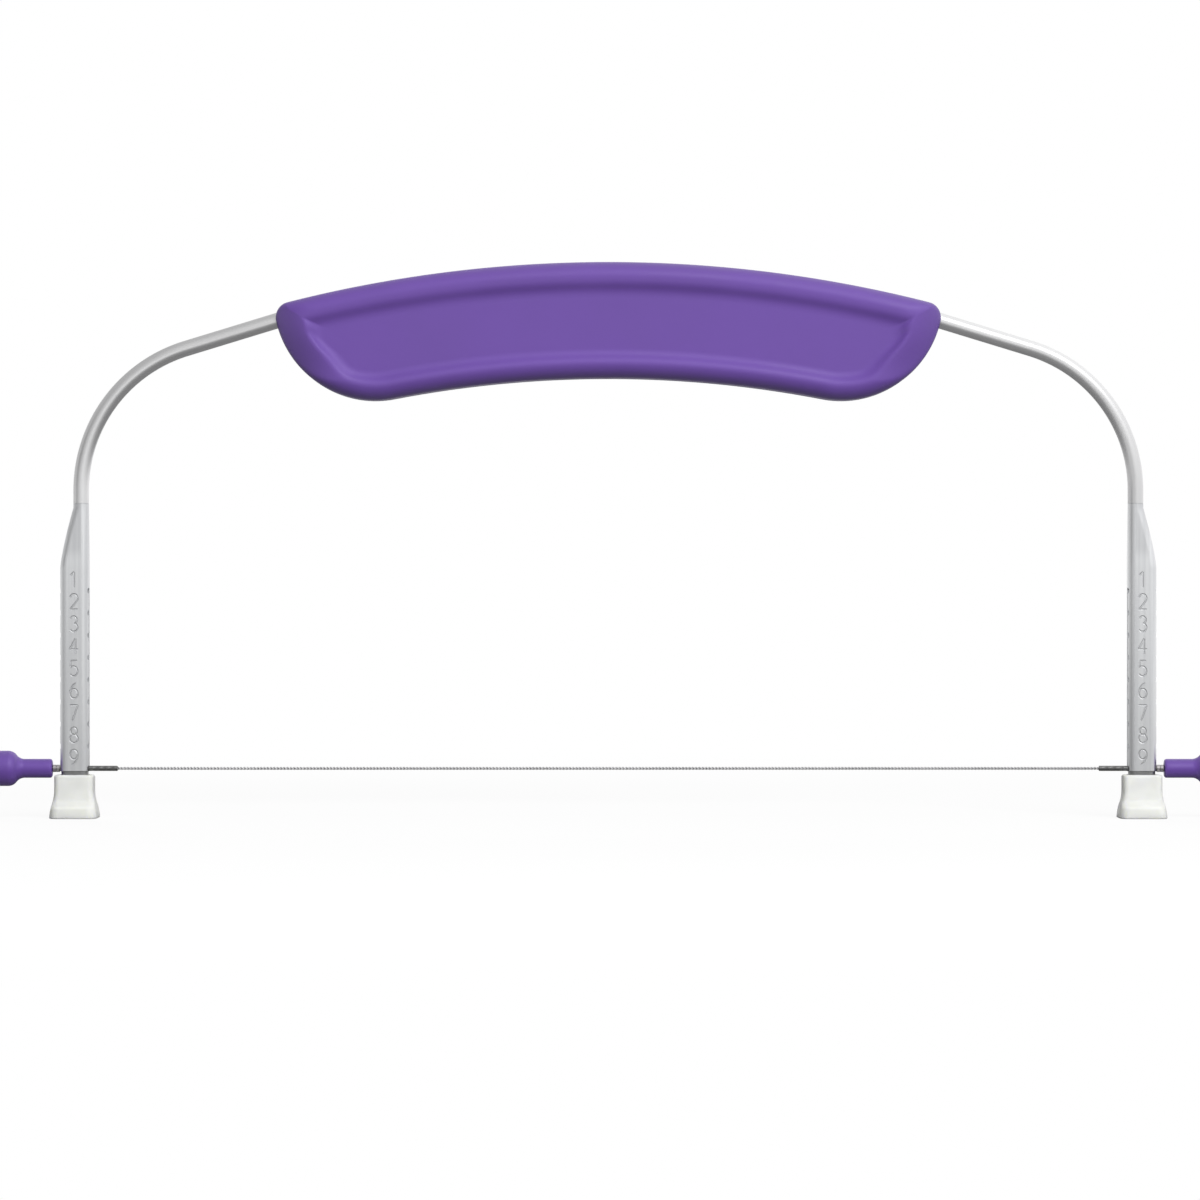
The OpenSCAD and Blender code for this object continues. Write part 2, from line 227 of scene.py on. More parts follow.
class Shape:
    """Rings of points and the faces between them, gathered for one mesh."""

    def __init__(self):
        self.points = []
        self.faces = []
        self.straight = []

    def ring(self, points):
        start = len(self.points)
        self.points.extend(points)
        return list(range(start, len(self.points)))

    def skin(self, first, second):
        """Joins two rings with a band of faces."""
        for i in range(len(first)):
            j = (i + 1) % len(first)
            self.faces.append((first[i], first[j], second[j], second[i]))

    def lay(self, rings):
        """Adds rings of points, each joined to the next."""
        laid = [self.ring(ring) for ring in rings]
        for first, second in zip(laid, laid[1:]):
            self.skin(first, second)
        return laid

    def cap(self, ring):
        """Closes a ring with one flat face."""
        self.faces.append(tuple(ring))

    def point_fan(self, ring, tip):
        """Closes a ring in a point."""
        self.points.append(tip)
        last = len(self.points) - 1
        for i, a in enumerate(ring):
            self.faces.append((a, ring[(i + 1) % len(ring)], last))


def loft(rings, looped=False):
    """A skin over rings that all have the same number of points, capped at its ends or looped."""
    shape = Shape()
    laid = shape.lay(rings)
    if looped:
        shape.skin(laid[-1], laid[0])
    else:
        shape.cap(laid[0])
        shape.cap(laid[-1])
    return shape


def add_object(name, data):
    thing = bpy.data.objects.new(name, data)
    bpy.context.scene.collection.objects.link(thing)
    return thing


def make_object(name, shape):
    """Makes a gathered shape into a mesh object in metres, with its faces outward."""
    mesh = bpy.data.meshes.new(name)
    mesh.from_pydata([[c * MM for c in p] for p in shape.points], [], shape.faces)
    work = bmesh.new()
    work.from_mesh(mesh)
    bmesh.ops.recalc_face_normals(work, faces=work.faces)
    work.to_mesh(mesh)
    work.free()
    if shape.straight:
        attribute = mesh.attributes.new("straight", "FLOAT_VECTOR", "POINT")
        attribute.data.foreach_set("vector", [c * MM for p in shape.straight for c in p])
    return add_object(name, mesh)


def keep_result(thing):
    """Swaps a mesh for what its modifiers make of it."""
    graph = bpy.context.evaluated_depsgraph_get()
    made = bpy.data.meshes.new_from_object(thing.evaluated_get(graph))
    thing.modifiers.clear()
    thing.data = made


def cut_away(thing, cutters):
    """Cuts every cutter out of thing, and deletes the cutters."""
    scene_root = bpy.context.scene.collection
    drawer = bpy.data.collections.new("cutters")
    scene_root.children.link(drawer)
    for cutter in cutters:
        scene_root.objects.unlink(cutter)
        drawer.objects.link(cutter)
    cut = thing.modifiers.new("cut", "BOOLEAN")
    cut.operation = "DIFFERENCE"
    cut.operand_type = "COLLECTION"
    cut.collection = drawer
    cut.solver = "EXACT"
    keep_result(thing)
    for cutter in cutters:
        bpy.data.objects.remove(cutter)
    bpy.data.collections.remove(drawer)
    return thing


def finish_piece(thing, material, node, body="frame", crease=35, flats=True):
    """Dresses and shades a piece, and seats it on its body in place of its frame node.

    Edges sharper than crease, in degrees, stay sharp. Flats keeps broad faces flat in the shading.
    """
    thing.data.materials.clear()
    thing.data.materials.append(material)
    thing.data.shade_smooth()
    thing.data.set_sharp_from_angle(angle=math.radians(crease))
    if flats:
        thing.modifiers.new("weigh", "WEIGHTED_NORMAL").keep_sharp = True
        keep_result(thing)
    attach(thing, body)
    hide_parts(node)


def between(low, high, steps):
    """Evenly spaced values, both ends included."""
    return [low + (high - low) * i / steps for i in range(steps + 1)]


def arc(centre, radius, start, stop, steps):
    """Points on an arc, with angles in degrees and both ends included."""
    turns = [math.radians(turn) for turn in between(start, stop, steps)]
    return [(centre[0] + radius * math.cos(a), centre[1] + radius * math.sin(a)) for a in turns]


def all_round(count):
    """Evenly spaced angles of a whole turn, the first at 0."""
    return between(0, 2 * math.pi, count)[:-1]


def bezier(a, b, c, d, t):
    """Value at t on a cubic curve that starts at a, ends at d, and is pulled towards b and c."""
    u = 1 - t
    return a * u**3 + 3 * b * u * u * t + 3 * c * u * t * t + d * t**3


def ease(t):
    """Runs from 0 to 1 with a soft start and a soft end, and stays there outside."""
    t = min(1, max(0, t))
    return t * t * (3 - 2 * t)


def mixed(a, b, t):
    """Goes from point list a to point list b as t goes from 0 to 1."""
    return [tuple(p + (q - p) * t for p, q in zip(m, n)) for m, n in zip(a, b)]


def extruded(points, shift):
    """A prism: a closed outline and the same outline moved by shift."""
    far = [tuple(c + s for c, s in zip(p, shift)) for p in points]
    return loft([points, far])


def tube(path, radius, sides, looped=False):
    """A round bar along a path in an upright plane, for cutters: (x, y, z) points at one y."""
    rings = []
    count = len(path)
    for i, (x, y, z) in enumerate(path):
        ahead = path[(i + 1) % count] if looped else path[min(i + 1, count - 1)]
        behind = path[i - 1] if looped else path[max(i - 1, 0)]
        run = math.atan2(ahead[2] - behind[2], ahead[0] - behind[0])
        ring = []
        for a in all_round(sides):
            aside = radius * math.cos(a)
            ring.append((x - aside * math.sin(run), y + radius * math.sin(a), z + aside * math.cos(run)))
        rings.append(ring)
    return loft(rings, looped=looped)


def turned(profile, place, sides=TURNED_SIDES, looped=False):
    """A lathe shape. The profile is (radius, run) points, and place puts (radius, run, angle) in space."""
    shape = Shape()
    rings = []
    tips = []
    for radius, run in profile:
        if radius > 0:
            rings.append([place(radius, run, a) for a in all_round(sides)])
        else:
            tips.append((len(rings), place(0, run, 0)))
    laid = shape.lay(rings)
    for index, tip in tips:
        shape.point_fan(laid[min(index, len(laid) - 1)], tip)
    if looped:
        shape.skin(laid[-1], laid[0])
    return shape


def along_wire(side, start):
    """Places lathe points on the wire's axis, from start outward on the left (-1) or right (1)."""

    def place(radius, run, angle):
        x = side * (start + run)
        return (x, radius * math.sin(angle), WIRE_Z + radius * math.cos(angle))

    return place


def round_rect(x, width, front_y, back_y, front_r, back_r):
    """Outline with rounded corners, seen from above. Every one has the same number of points."""
    half = width / 2
    corners = (
        (x + half - back_r, back_y - back_r, back_r, 0),
        (x - half + back_r, back_y - back_r, back_r, 90),
        (x - half + front_r, front_y + front_r, front_r, 180),
        (x + half - front_r, front_y + front_r, front_r, 270),
    )
    points = []
    for cx, cy, r, start in corners:
        points += arc((cx, cy), r, start, start + 90, CORNER_STEPS)
    return points


def round_ring(x, radius):
    """Circle about (x, 0) with as many points as round_rect."""
    count = 4 * (CORNER_STEPS + 1)
    step = 360 / count
    return arc((x, 0), radius, step / 2, 360 - step / 2, count - 1)


def at_height(outline, z):
    return [(x, y, z) for x, y in outline]


# Node trees
def put(tree, kind, inputs=None, **settings):
    """Adds a node, sets it up, and fills its inputs with values or with other nodes' outputs."""
    node = tree.nodes.new(kind)
    for name, value in settings.items():
        setattr(node, name, value)
    for socket, value in (inputs or {}).items():
        if isinstance(value, bpy.types.NodeSocket):
            tree.links.new(value, node.inputs[socket])
        else:
            node.inputs[socket].default_value = value
    return node


def work_out(tree, operation, first, second=0.0):
    """Output of a Math node."""
    return put(tree, "ShaderNodeMath", {0: first, 1: second}, operation=operation).outputs[0]


def times(tree, first, second):
    return work_out(tree, "MULTIPLY", first, second)


def work_out_way(tree, operation, first, second=(0, 0, 0)):
    """Outputs of a Vector Math node."""
    return put(tree, "ShaderNodeVectorMath", {0: first, 1: second}, operation=operation).outputs


def remap(tree, value, low, high, to_low=0.0, to_high=1.0, kind="SMOOTHSTEP"):
    """Output that runs from to_low to to_high while value goes from low to high."""
    inputs = {"Value": value, "From Min": low, "From Max": high, "To Min": to_low, "To Max": to_high}
    return put(tree, "ShaderNodeMapRange", inputs, interpolation_type=kind).outputs[0]


def blend_colour(tree, share, first, second):
    """Output that goes from the first colour to the second as share goes from 0 to 1."""
    inputs = {0: share, 6: first, 7: second}
    return put(tree, "ShaderNodeMix", inputs, data_type="RGBA").outputs[2]


def noise(tree, place, scale, detail=2.0, roughness=0.5):
    """Output of a soft noise, about 0.5 on average."""
    inputs = {"Vector": place, "Scale": scale, "Detail": detail, "Roughness": roughness}
    return put(tree, "ShaderNodeTexNoise", inputs).outputs[0]


def new_group(name, inputs, outputs):
    """An empty node group, and what its materials give it.

    Each input is a number with its usual value, or a vector where that is None.
    """
    group = bpy.data.node_groups.new(name, "ShaderNodeTree")
    for label, value in inputs.items():
        kind = "NodeSocketVector" if value is None else "NodeSocketFloat"
        socket = group.interface.new_socket(name=label, in_out="INPUT", socket_type=kind)
        if value is not None:
            socket.default_value = value
    for label in outputs:
        group.interface.new_socket(name=label, in_out="OUTPUT", socket_type="NodeSocketFloat")
    return group, put(group, "NodeGroupInput").outputs


def make_moulded_grain():
    """Fine grain of a moulded surface as a height, and soft clouds as a mask."""
    sockets = {"Place": None, "Grain": 2500, "Clouds": 60}
    group, given = new_group("moulded_grain", sockets, ["Height", "Mottle"])
    fine = noise(group, given["Place"], given["Grain"], 3, 0.6)
    clouds = noise(group, given["Place"], given["Clouds"])
    put(group, "NodeGroupOutput", {"Height": fine, "Mottle": remap(group, clouds, 0.3, 0.7)})
    return group


def make_drawn_lines():
    """Fine lines along a drawn or rolled piece as a height, and longer streaks as a mask."""
    group, given = new_group("drawn_lines", {"Place": None, "Stretch": None}, ["Height", "Streaks"])
    drawn = work_out_way(group, "MULTIPLY", given["Place"], given["Stretch"])[0]
    lines = noise(group, drawn, 1, 4, 0.65)
    streaks = noise(group, drawn, 0.15)
    put(group, "NodeGroupOutput", {"Height": lines, "Streaks": remap(group, streaks, 0.35, 0.65)})
    return group


def make_seam_painted_shade():
    """Mask of painted shade in a seam, from the distance to its middle."""
    group, given = new_group("seam_painted_shade", {"Distance": 0, "Reach": 0.001}, ["Mask"])
    away = work_out(group, "ABSOLUTE", given["Distance"])
    share = work_out(group, "DIVIDE", away, given["Reach"])
    put(group, "NodeGroupOutput", {"Mask": remap(group, share, 0.5, 1, 1, 0)})
    return group


def make_worn_and_highlit_edge():
    """Mask of outer edges, broken up by a soft noise, for wear and a painted highlight."""
    group, given = new_group("worn_and_highlit_edge", {"Place": None}, ["Mask"])
    bend = put(group, "ShaderNodeNewGeometry").outputs["Pointiness"]
    edge = remap(group, bend, 0.52, 0.6, kind="LINEAR")
    patches = remap(group, noise(group, given["Place"], 180, 3), 0.35, 0.7)
    put(group, "NodeGroupOutput", {"Mask": times(group, edge, patches)})
    return group


MOULDED_GRAIN = make_moulded_grain()
DRAWN_LINES = make_drawn_lines()
SEAM_PAINTED_SHADE = make_seam_painted_shade()
WORN_AND_HIGHLIT_EDGE = make_worn_and_highlit_edge()


# Materials
def use_group(tree, group, inputs):
    """Outputs of a node group placed in a material."""
    return put(tree, "ShaderNodeGroup", inputs, node_tree=group).outputs


def empty_tree(owner):
    """The node tree of a material or world, with nothing in it."""
    owner.use_nodes = True
    owner.node_tree.nodes.clear()
    return owner.node_tree


def new_material(name):
    """An empty material and its tree."""
    material = bpy.data.materials.new(name)
    return material, empty_tree(material)


def shade(tree, looks):
    """Adds the shader, with its inputs filled from looks, and the output."""
    shader = put(tree, "ShaderNodeBsdfPrincipled", looks)
    put(tree, "ShaderNodeOutputMaterial", {"Surface": shader.outputs[0]})


def own_place(tree):
    """Coordinates that stay with the piece when it moves."""
    return put(tree, "ShaderNodeTexCoord").outputs["Object"]


def split_place(tree, place):
    return put(tree, "ShaderNodeSeparateXYZ", {0: place}).outputs


def bump(tree, height, strength, distance):
    inputs = {"Height": height, "Strength": strength, "Distance": distance}
    return put(tree, "ShaderNodeBump", inputs).outputs[0]


def lay_over(tree, mask, share, under, over):
    """Output that shows a share of the colour over on top of the colour under, where the mask is 1."""
    return blend_colour(tree, times(tree, mask, share), under, over)


def moulded_purple(name, grain, seam_reach):
    """Satin moulded plastic, paler on its edges as wear and painted highlight, with painted shade in the
    seam between two halves.
    """
    material, tree = new_material(name)
    place = own_place(tree)
    skin = use_group(tree, MOULDED_GRAIN, {"Place": place, "Grain": grain, "Clouds": 45})
    wear_and_highlight = use_group(tree, WORN_AND_HIGHLIT_EDGE, {"Place": place})
    seam = use_group(tree, SEAM_PAINTED_SHADE, {"Distance": split_place(tree, place)["Y"], "Reach": seam_reach})
    colour = blend_colour(tree, skin["Mottle"], (0.114, 0.049, 0.296, 1), (0.123, 0.055, 0.312, 1))
    # Paler edges: partly wear, partly a painted highlight
    colour = lay_over(tree, wear_and_highlight["Mask"], 0.18, colour, (0.24, 0.17, 0.45, 1))
    # Painted shade along the seam where Y is 0
    colour = lay_over(tree, seam["Mask"], 0.7, colour, (0.03, 0.014, 0.08, 1))
    shade(tree, {
        "Base Color": colour,
        "Roughness": remap(tree, skin["Mottle"], 0, 1, 0.42, 0.48),
        "Normal": bump(tree, skin["Height"], 0.25, 0.04 * MM),
        "Specular IOR Level": 0.85,
    })
    return material


def drawn_steel(name, colour, streak_colour, roughness, stretch, straightened=False):
    """Satin steel with lines along its length and slightly duller streaks.

    On a straightened piece the lines follow its bends.
    """
    material, tree = new_material(name)
    if straightened:
        place = put(tree, "ShaderNodeAttribute", attribute_name="straight").outputs["Vector"]
    else:
        place = own_place(tree)
    drawn = use_group(tree, DRAWN_LINES, {"Place": place, "Stretch": stretch})
    shade(tree, {
        "Base Color": blend_colour(tree, drawn["Streaks"], colour, streak_colour),
        "Roughness": remap(tree, drawn["Streaks"], 0, 1, roughness - 0.03, roughness + 0.05),
        "Normal": bump(tree, drawn["Height"], 0.15, 0.03 * MM),
        "Metallic": 1,
    })
    return material


def pressed_leg_steel():
    """Rolled sheet steel, with painted shade in the stamped digits and in the seam above the foot."""
    material, tree = new_material("pressed_leg_steel")
    place = own_place(tree)
    x, y, z = split_place(tree, place)
    drawn = use_group(tree, DRAWN_LINES, {"Place": place, "Stretch": (5000, 5000, 90)})
    colour = blend_colour(tree, drawn["Streaks"], (0.78, 0.79, 0.8, 1), (0.72, 0.73, 0.745, 1))
    # What lies behind the front face and near the leg's middle line is a digit
    front = LEG_FRONT_Y * MM
    sunk = remap(tree, y, front + 0.02 * MM, front + 0.1 * MM)
    across = work_out(tree, "SUBTRACT", work_out(tree, "ABSOLUTE", x), LEG_X * MM)
    on_face = remap(tree, work_out(tree, "ABSOLUTE", across), 1.9 * MM, 2.1 * MM, 1, 0)
    stamped = times(tree, sunk, on_face)
    # Painted shade in the stamped digits
    colour = lay_over(tree, stamped, 0.3, colour, (0.5, 0.505, 0.52, 1))
    # Painted shade in the groove just above the foot
    from_seam = work_out(tree, "SUBTRACT", z, (SEAM_LOW_Z + SEAM_HIGH_Z) / 2 * MM)
    seam = use_group(tree, SEAM_PAINTED_SHADE, {"Distance": from_seam, "Reach": 0.8 * MM})
    colour = lay_over(tree, seam["Mask"], 0.8, colour, (0.2, 0.2, 0.2, 1))
    rough = remap(tree, drawn["Streaks"], 0, 1, 0.32, 0.4)
    shade(tree, {
        "Base Color": colour,
        "Roughness": work_out(tree, "ADD", rough, times(tree, stamped, 0.1)),
        "Normal": bump(tree, drawn["Height"], 0.12, 0.03 * MM),
        "Metallic": 1,
    })
    return material


def milky_foot():
    """Soft white plastic that lets a little light through, with faint clouds."""
    material, tree = new_material("milky_foot")
    place = own_place(tree)
    skin = use_group(tree, MOULDED_GRAIN, {"Place": place, "Grain": 1800, "Clouds": 160})
    shade(tree, {
        "Base Color": blend_colour(tree, skin["Mottle"], (0.79, 0.8, 0.765, 1), (0.84, 0.85, 0.815, 1)),
        "Roughness": remap(tree, skin["Mottle"], 0, 1, 0.38, 0.5),
        "Normal": bump(tree, skin["Height"], 0.2, 0.04 * MM),
        "Subsurface Weight": 0.7,
        "Subsurface Radius": (1, 1, 0.85),
        "Subsurface Scale": 3 * MM,
    })
    return material


HANDLE_PURPLE = moulded_purple("handle_purple", 2600, 0.5 * MM)
KNOB_PURPLE = moulded_purple("knob_purple", 3200, 0.05 * MM)
ROD_STEEL = drawn_steel(
    "rod_steel", (0.76, 0.76, 0.765, 1), (0.69, 0.69, 0.695, 1), 0.34, (4000, 4000, 60), straightened=True
)
LEG_STEEL = pressed_leg_steel()
WIRE_STEEL = drawn_steel("wire_steel", (0.86, 0.86, 0.87, 1), (0.74, 0.74, 0.75, 1), 0.36, (400, 6000, 6000))
SLEEVE_STEEL = drawn_steel(
    "sleeve_steel", (0.25, 0.25, 0.245, 1), (0.18, 0.18, 0.18, 1), 0.34, (300, 4000, 4000)
)
COLLAR_STEEL = drawn_steel(
    "collar_steel", (0.5, 0.48, 0.49, 1), (0.4, 0.385, 0.39, 1), 0.3, (4000, 300, 300)
)
SCREW_STEEL = drawn_steel("screw_steel", (0.5, 0.5, 0.48, 1), (0.42, 0.42, 0.41, 1), 0.3, (1500, 300, 1500))
FOOT_MILKY = milky_foot()


# Bent rod
def rod_path():
    """Right half of the rod from its middle to the leg's neck, as (x, z, slope in degrees)."""
    slope = math.radians(SHOULDER_SLOPE)
    high_bend = (UPRIGHT_X - BEND_R, UPRIGHT_TOP_Z)
    shoulder_x = high_bend[0] + BEND_R * math.sin(slope)
    shoulder_z = high_bend[1] + BEND_R * math.cos(slope)
    # The slope climbs until the level bend brings it to the height inside the handle
    climb = LEVEL_Z - BEND_R * (1 - math.cos(slope)) - shoulder_z
    level_x = shoulder_x - climb / math.tan(slope) - BEND_R * math.sin(slope)
    level_bend = (level_x, LEVEL_Z - BEND_R)
    path = [(x, LEVEL_Z, 0) for x in between(0, level_x, 8)[:-1]]
    bends = ((level_bend, 0, SHOULDER_SLOPE, 10), (high_bend, SHOULDER_SLOPE, 90, 44))
    for centre, start, stop, steps in bends:
        points = arc(centre, BEND_R, 90 - start, 90 - stop, steps)
        path += [(x, z, turn) for (x, z), turn in zip(points, between(start, stop, steps))]
    path.append((UPRIGHT_X, LEG_NECK_Z, 90))
    return path


def bow_shape():
    """The rod from one turned-down end to the other, and its places on the rod laid out straight."""
    right = rod_path()
    left = [(-x, z, -slope) for x, z, slope in reversed(right[1:])]
    stations = [(x, z, slope, ROD_R) for x, z, slope in left + right]
    spigot = (
        (LEG_NECK_Z, SPIGOT_R),
        (SPIGOT_BOTTOM_Z + SPIGOT_CHAMFER, SPIGOT_R),
        (SPIGOT_BOTTOM_Z, SPIGOT_R - SPIGOT_CHAMFER),
    )
    for z, radius in spigot:
        stations.append((UPRIGHT_X, z, 90, radius))
        stations.insert(0, (-UPRIGHT_X, z, -90, radius))
    rings = []
    straight = []
    run = 0
    last = stations[0][:2]
    for x, z, slope, radius in stations:
        lean = math.radians(slope)
        run += math.dist(last, (x, z))
        last = (x, z)
        ring = []
        for a in all_round(ROD_SIDES):
            out = radius * math.cos(a)
            deep = radius * math.sin(a)
            ring.append((x + out * math.sin(lean), deep, z + out * math.cos(lean)))
            straight.append((out, deep, run))
        rings.append(ring)
    shape = loft(rings)
    shape.straight = straight
    return shape


def rod_channel():
    """Room for the rod through a shell."""
    right = [(x, 0, z) for x, z, slope in rod_path() if slope < 60]
    left = [(-x, y, z) for x, y, z in reversed(right[1:])]
    return make_object("rod_channel", tube(left + right, ROD_R + ROD_CLEARANCE, 24))


# Handle
def meet(a, reach_a, b, reach_b):
    """The point on the right of the line from a to b that lies reach_a from a and reach_b from b."""
    far = math.dist(a, b)
    along = (reach_a**2 - reach_b**2 + far**2) / (2 * far)
    aside = math.sqrt(reach_a**2 - along**2)
    ux = (b[0] - a[0]) / far
    uz = (b[1] - a[1]) / far
    return (a[0] + along * ux + aside * uz, a[1] + along * uz - aside * ux)


def heading(a, b):
    return math.degrees(math.atan2(b[1] - a[1], b[0] - a[0]))


def handle_outline(inset):
    """The handle's outline in the upright plane, drawn in by inset: four arcs a side."""
    corner_r = max(CORNER_ARC_R - inset, INNER_CORNER_R)
    top = (0, TOP_ARC_Z)
    palm = (0, PALM_ARC_Z)
    end = (END_ARC_X, END_ARC_Z)
    corner = meet(top, TOP_ARC_R - inset - corner_r, end, END_ARC_R - inset - corner_r)
    top_stop = heading(top, corner)
    end_start = heading(end, corner)
    end_stop = heading(palm, end) - 180
    half = arc(top, TOP_ARC_R - inset, 90, top_stop, 36)
    half += arc(corner, corner_r, top_stop, end_start, 10)[1:]
    half += arc(end, END_ARC_R - inset, end_start, end_stop, 40)[1:]
    half += arc(palm, PALM_ARC_R + inset, end_stop + 180, 90, 30)[1:]
    return half + [(-x, z) for x, z in reversed(half[1:-1])]


def end_share(steep):
    """How much of an end a spot is: 0 where the outline runs level, 1 where it stands upright."""
    return ease((steep - 0.3) / 0.6)


def side_shares():
    """For each point of the outline, how much it belongs to the top, to the palm side and to an end."""
    outline = handle_outline(0)
    shares = []
    for i in range(len(outline)):
        behind = outline[i - 1]
        ahead = outline[(i + 1) % len(outline)]
        end = end_share(abs(ahead[1] - behind[1]) / math.dist(ahead, behind))
        rest = (1 - end, 0) if ahead[0] > behind[0] else (0, 1 - end)
        shares.append((*rest, end))
    return shares


SIDE_SHARES = side_shares()


def handle_ring(insets):
    """The outline drawn in by its own inset at the top, at the palm side and at the ends."""
    drawn_in = [handle_outline(inset) for inset in insets]
    ring = []
    for shares, *spots in zip(SIDE_SHARES, *drawn_in):
        ring.append(tuple(sum(w * p[axis] for w, p in zip(shares, spots)) for axis in (0, 1)))
    return ring


def edge_drop(inset):
    """How far the rounded edge falls back from the rim's crest."""
    if inset >= EDGE_W:
        return 0
    return EDGE_DEPTH * (1 - math.sin(math.acos(1 - inset / EDGE_W)))


def end_drop(x, z):
    """How far the handle thins towards the rod where it comes out at the end."""
    out = abs(x) - END_ARC_X
    away = math.hypot(out, z - END_ARC_Z)
    near = (away - END_ARC_R + TAPER_W) / TAPER_W
    if out <= 0 or near <= 0:
        return 0
    return TAPER_DEPTH * near**1.5 * end_share(out / away)


def face_profile(crest_w, rim_w):
    """The handle's face from its edge to the panel, as (inset, recess) points."""
    profile = [(crest_w * (1 - math.cos(a)), 0) for a in between(0, math.pi / 2, 14)]
    slope_w = rim_w - crest_w
    for t in between(0, 1, 16)[1:]:
        inset = bezier(crest_w, crest_w + 0.5 * slope_w, crest_w + 0.44 * slope_w, rim_w, t)
        profile.append((inset, bezier(0, 0, RECESS_DEPTH, RECESS_DEPTH, t)))
    return profile


def face_rings(side_y):
    """Rings of a shell's face, from a fine chamfer at the parting plane to the panel."""
    rings = []
    for inset, y in ((PARTING_CHAMFER, 0), (0, PARTING_CHAMFER)):
        rings.append([(x, side_y * y, z) for x, z in handle_outline(inset)])
    top = face_profile(EDGE_W, RIM_W)
    palm = face_profile(PALM_CREST_W, PALM_RIM_W)
    ends = face_profile(END_CREST_W, END_RIM_W)
    for steps in zip(top, palm, ends):
        insets = [inset for inset, recess in steps]
        recess = steps[0][1]
        ring = []
        for shares, (x, z) in zip(SIDE_SHARES, handle_ring(insets)):
            edge = edge_drop(sum(w * inset for w, inset in zip(shares, insets)))
            drop = (edge**4 + end_drop(x, z) ** 4) ** 0.25
            ring.append((x, side_y * (HALF_DEPTH - drop - recess), z))
        rings.append(ring)
    return rings


def plate(outline, near_y, far_y):
    """A prism of an upright outline, from near_y to far_y."""
    return extruded([(x, near_y, z) for x, z in outline], (0, far_y - near_y, 0))


def peg(x, z, radius, near_y, far_y, far_radius=None):
    """A round peg along Y."""
    ends = ((near_y, radius), (far_y, far_radius or radius))
    return loft([[(px, y, pz) for px, pz in arc((x, z), r, 0, 360, 40)[:-1]] for y, r in ends])


def shell_hollow(side_y):
    """What is taken out of a shell, with its ribs and screw bosses left standing."""
    inner = handle_ring((SHELL_WALL, SHELL_WALL, END_WALL))
    hollow = make_object("hollow", plate(inner, -side_y * PAST, side_y * HOLLOW_Y))
    standing = []
    for side in (-1, 1):
        for rib_x in RIB_XS:
            near = side * rib_x - RIB_T / 2
            far = near + RIB_T
            rib = [(near, RIB_LOW_Z), (far, RIB_LOW_Z), (far, RIB_HIGH_Z), (near, RIB_HIGH_Z)]
            standing.append(make_object("rib", plate(rib, -side_y * 2 * PAST, side_y * HALF_DEPTH)))
        for x, z in SCREW_SPOTS:
            boss = peg(side * x, z, BOSS_R, -side_y * 2 * PAST, side_y * HALF_DEPTH)
            standing.append(make_object("boss", boss))
    return cut_away(hollow, standing)


def handle_shell(name, side_y):
    """Front (-1) or rear (1) half of the handle."""
    shell = make_object(name, loft(face_rings(side_y)))
    cutters = [shell_hollow(side_y), rod_channel()]
    if side_y < 0:
        pegs = {"pilot": (SCREW_CORE_R, PAST, SCREW_TIP_Y - 0.3)}
    else:
        pegs = {
            "hole": (SCREW_HOLE_R, -PAST, SCREW_SEAT_Y + PAST),
            "well": (WELL_R, SCREW_SEAT_Y, HALF_DEPTH + PAST),
            "mouth": (WELL_R, PANEL_Y - WELL_MOUTH, PANEL_Y + WELL_MOUTH, WELL_R + 2 * WELL_MOUTH),
        }
    for side in (-1, 1):
        for x, z in SCREW_SPOTS:
            for word, sizes in pegs.items():
                cutters.append(make_object(word, peg(side * x, z, *sizes)))
    cut_away(shell, cutters)
    finish_piece(shell, HANDLE_PURPLE, name, crease=30)


def screw_profile():
    """The screw's head as (radius, run) from its underside, with a low dome."""
    dome = arc((0, SCREW_HEAD_H - SCREW_DOME_R), SCREW_DOME_R, 35, 90, 6)
    rim = [(SCREW_R - 0.3, 0), (SCREW_HEAD_R - 0.15, 0), (SCREW_HEAD_R, 0.15), (SCREW_HEAD_R, 0.55)]
    flank = arc((SCREW_HEAD_R - 0.5, 0.6), 0.5, 0, 50, 4)
    return rim + flank + [p for p in dome if p[0] < flank[-1][0] - 0.1][:-1] + [(0, SCREW_HEAD_H)]


def cross_outline(x, z, reach, half_w, y):
    """Cross recess at one depth."""
    points = []
    for turn in all_round(4):
        c = math.cos(turn)
        s = math.sin(turn)
        for a, b in ((reach, -half_w), (reach, half_w), (half_w, half_w)):
            points.append((x + a * c - b * s, y, z + a * s + b * c))
    return points


def threaded_shank(x, z):
    """Shank with a helical thread and a pointed tip."""
    sides = 24
    rows = 12
    length = SCREW_SEAT_Y - SCREW_TIP_Y
    count = round(rows * length / SCREW_PITCH)
    rings = []
    for i in range(count + 1):
        y = SCREW_SEAT_Y + 0.2 - (length + 0.2) * i / count
        taper = min(1, 0.25 + (y - SCREW_TIP_Y) / 2)
        ring = []
        for k in range(sides):
            phase = (y / SCREW_PITCH - k / sides) % 1
            crest = max(0, 1 - abs(phase - 0.5) / 0.28)
            radius = (SCREW_CORE_R + (SCREW_R - SCREW_CORE_R) * crest) * taper
            a = 2 * math.pi * k / sides
            ring.append((x + radius * math.cos(a), y, z + radius * math.sin(a)))
        rings.append(ring)
    return loft(rings)


